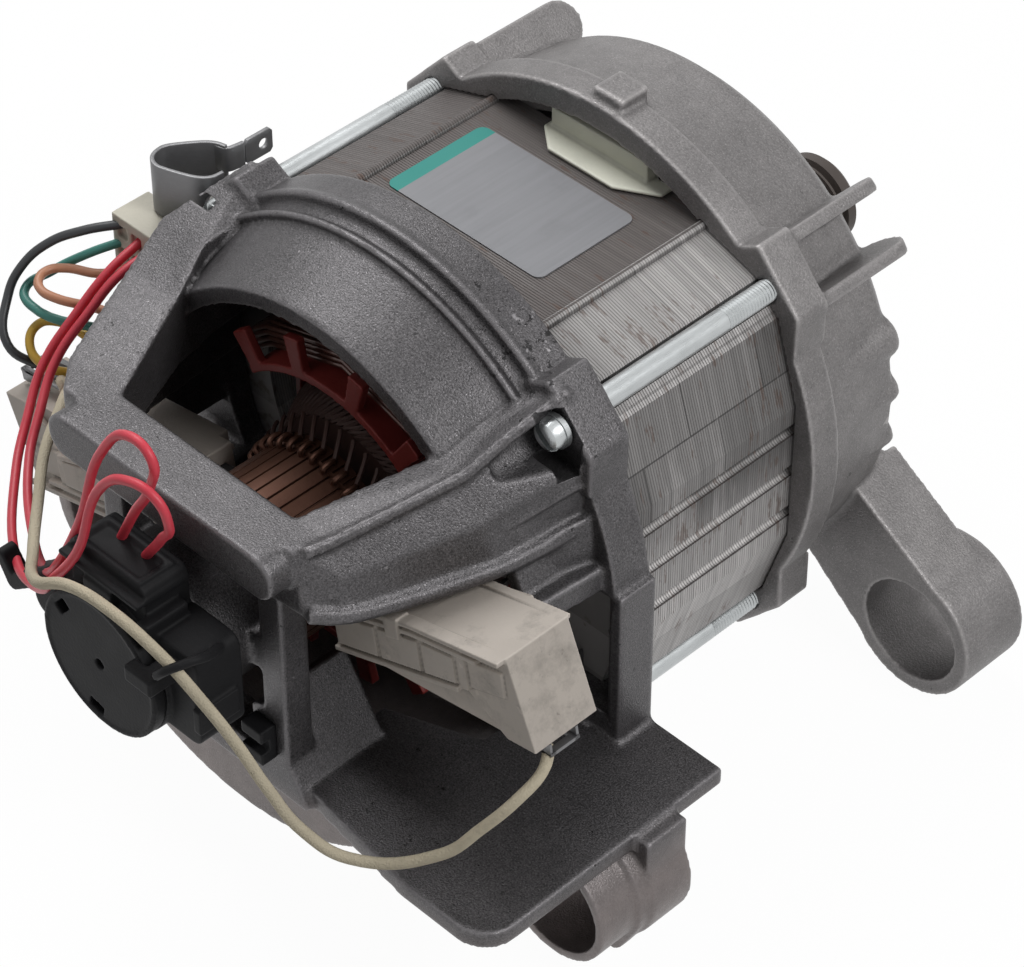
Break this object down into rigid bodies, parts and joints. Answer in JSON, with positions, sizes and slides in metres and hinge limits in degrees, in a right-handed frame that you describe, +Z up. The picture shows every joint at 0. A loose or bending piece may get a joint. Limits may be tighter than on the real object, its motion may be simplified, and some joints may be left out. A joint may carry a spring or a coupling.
{
  "type": "washing machine motor",
  "caption": "Brushed universal motor with a clamped lamination stack, cast end shields with bored lugs, ribbed drive pulley, brush gear and a speed sensor with leads.",
  "frame": {"origin": "on the shaft axis, in the middle of the drive pulley", "axes": "+Y along the shaft out of the drive end, +Z up from the lugs, +X towards the side with the foot plate"},
  "size_m": [0.1768, 0.2142, 0.1301],
  "materials": {
    "rear_casting": "sand-cast, speckled dark grey",
    "front_casting": "die-cast, warm light grey",
    "lamination": "stacked electrical steel with light stains",
    "rotor_steel": "turned steel",
    "enamelled_wire": "varnished brown copper wire",
    "copper": "brown copper bars",
    "red_plastic": "brick red",
    "nylon": "off-white",
    "zinc": "bright zinc",
    "plate": "satin silver with a teal end strip, bare",
    "bearing_steel": "ground",
    "black_plastic": "charcoal",
    "pulley_steel": "worn steel",
    "magnet": "sintered",
    "cream_plastic": "dirty cream grey",
    "carbon": "pressed carbon",
    "plain_steel": "dull plated steel",
    "pale_plastic": "greenish cream",
    "cream_cord": "woven cream sleeve",
    "red_cord": "smooth",
    "black_cord": "smooth",
    "green_cord": "smooth",
    "orange_cord": "smooth",
    "yellow_cord": "smooth"
  },
  "bodies": {
    "frame": {"rear_shield": "rear_casting", "front_shield": "front_casting", "stator_core": "lamination", "field_core_upper": "enamelled_wire", "field_core_lower": "enamelled_wire", "field_winding_upper": "enamelled_wire", "field_winding_lower": "enamelled_wire", "sensor_coil": "enamelled_wire", "coil_former_rear": "red_plastic", "coil_former_front": "nylon", "tie_bolts": "zinc", "rating_plate": "plate", "front_bearing_outer": "bearing_steel", "front_bearing_balls": "bearing_steel", "rear_bearing_outer": "bearing_steel", "rear_bearing_balls": "bearing_steel", "sensor_housing": "black_plastic", "sensor_cap": "black_plastic", "lead_clip": "black_plastic", "brush_holder_right": "cream_plastic", "brush_holder_left": "cream_plastic", "brush_spring_right": "plain_steel", "brush_spring_left": "plain_steel", "brush_terminal_right": "plain_steel", "brush_terminal_left": "plain_steel", "earth_clip": "plain_steel", "connector_block": "pale_plastic", "cream_lead": "cream_cord", "red_lead_upper": "red_cord", "red_lead_lower": "red_cord", "black_lead": "black_cord", "green_lead": "green_cord", "orange_lead": "orange_cord", "yellow_lead": "yellow_cord"},
    "rotor": {"shaft": "rotor_steel", "armature_core": "rotor_steel", "armature_winding": "enamelled_wire", "commutator": "copper", "cooling_fan": "black_plastic", "drive_pulley": "pulley_steel", "sensor_magnet": "magnet", "front_bearing_inner": "bearing_steel", "rear_bearing_inner": "bearing_steel"},
    "right_brush": {"brush_right": "carbon"},
    "left_brush": {"brush_left": "carbon"}
  },
  "joints": [
    {"name": "rotor_spin", "type": "hinge", "parent": "frame", "child": "rotor", "pos_m": [0, 0, 0], "axis": [0, 1, 0], "continuous": true},
    {"name": "right_brush_slide", "type": "slide", "parent": "frame", "child": "right_brush", "axis": [0.9848, 0, 0.1736], "range_m": [0, 0.009], "stiffness_N_per_m": 60, "springref_m": -0.02, "deforming": ["brush_spring_right"]},
    {"name": "left_brush_slide", "type": "slide", "parent": "frame", "child": "left_brush", "axis": [-0.9848, 0, -0.1736], "range_m": [0, 0.009], "stiffness_N_per_m": 60, "springref_m": -0.02, "deforming": ["brush_spring_left"]}
  ]
}
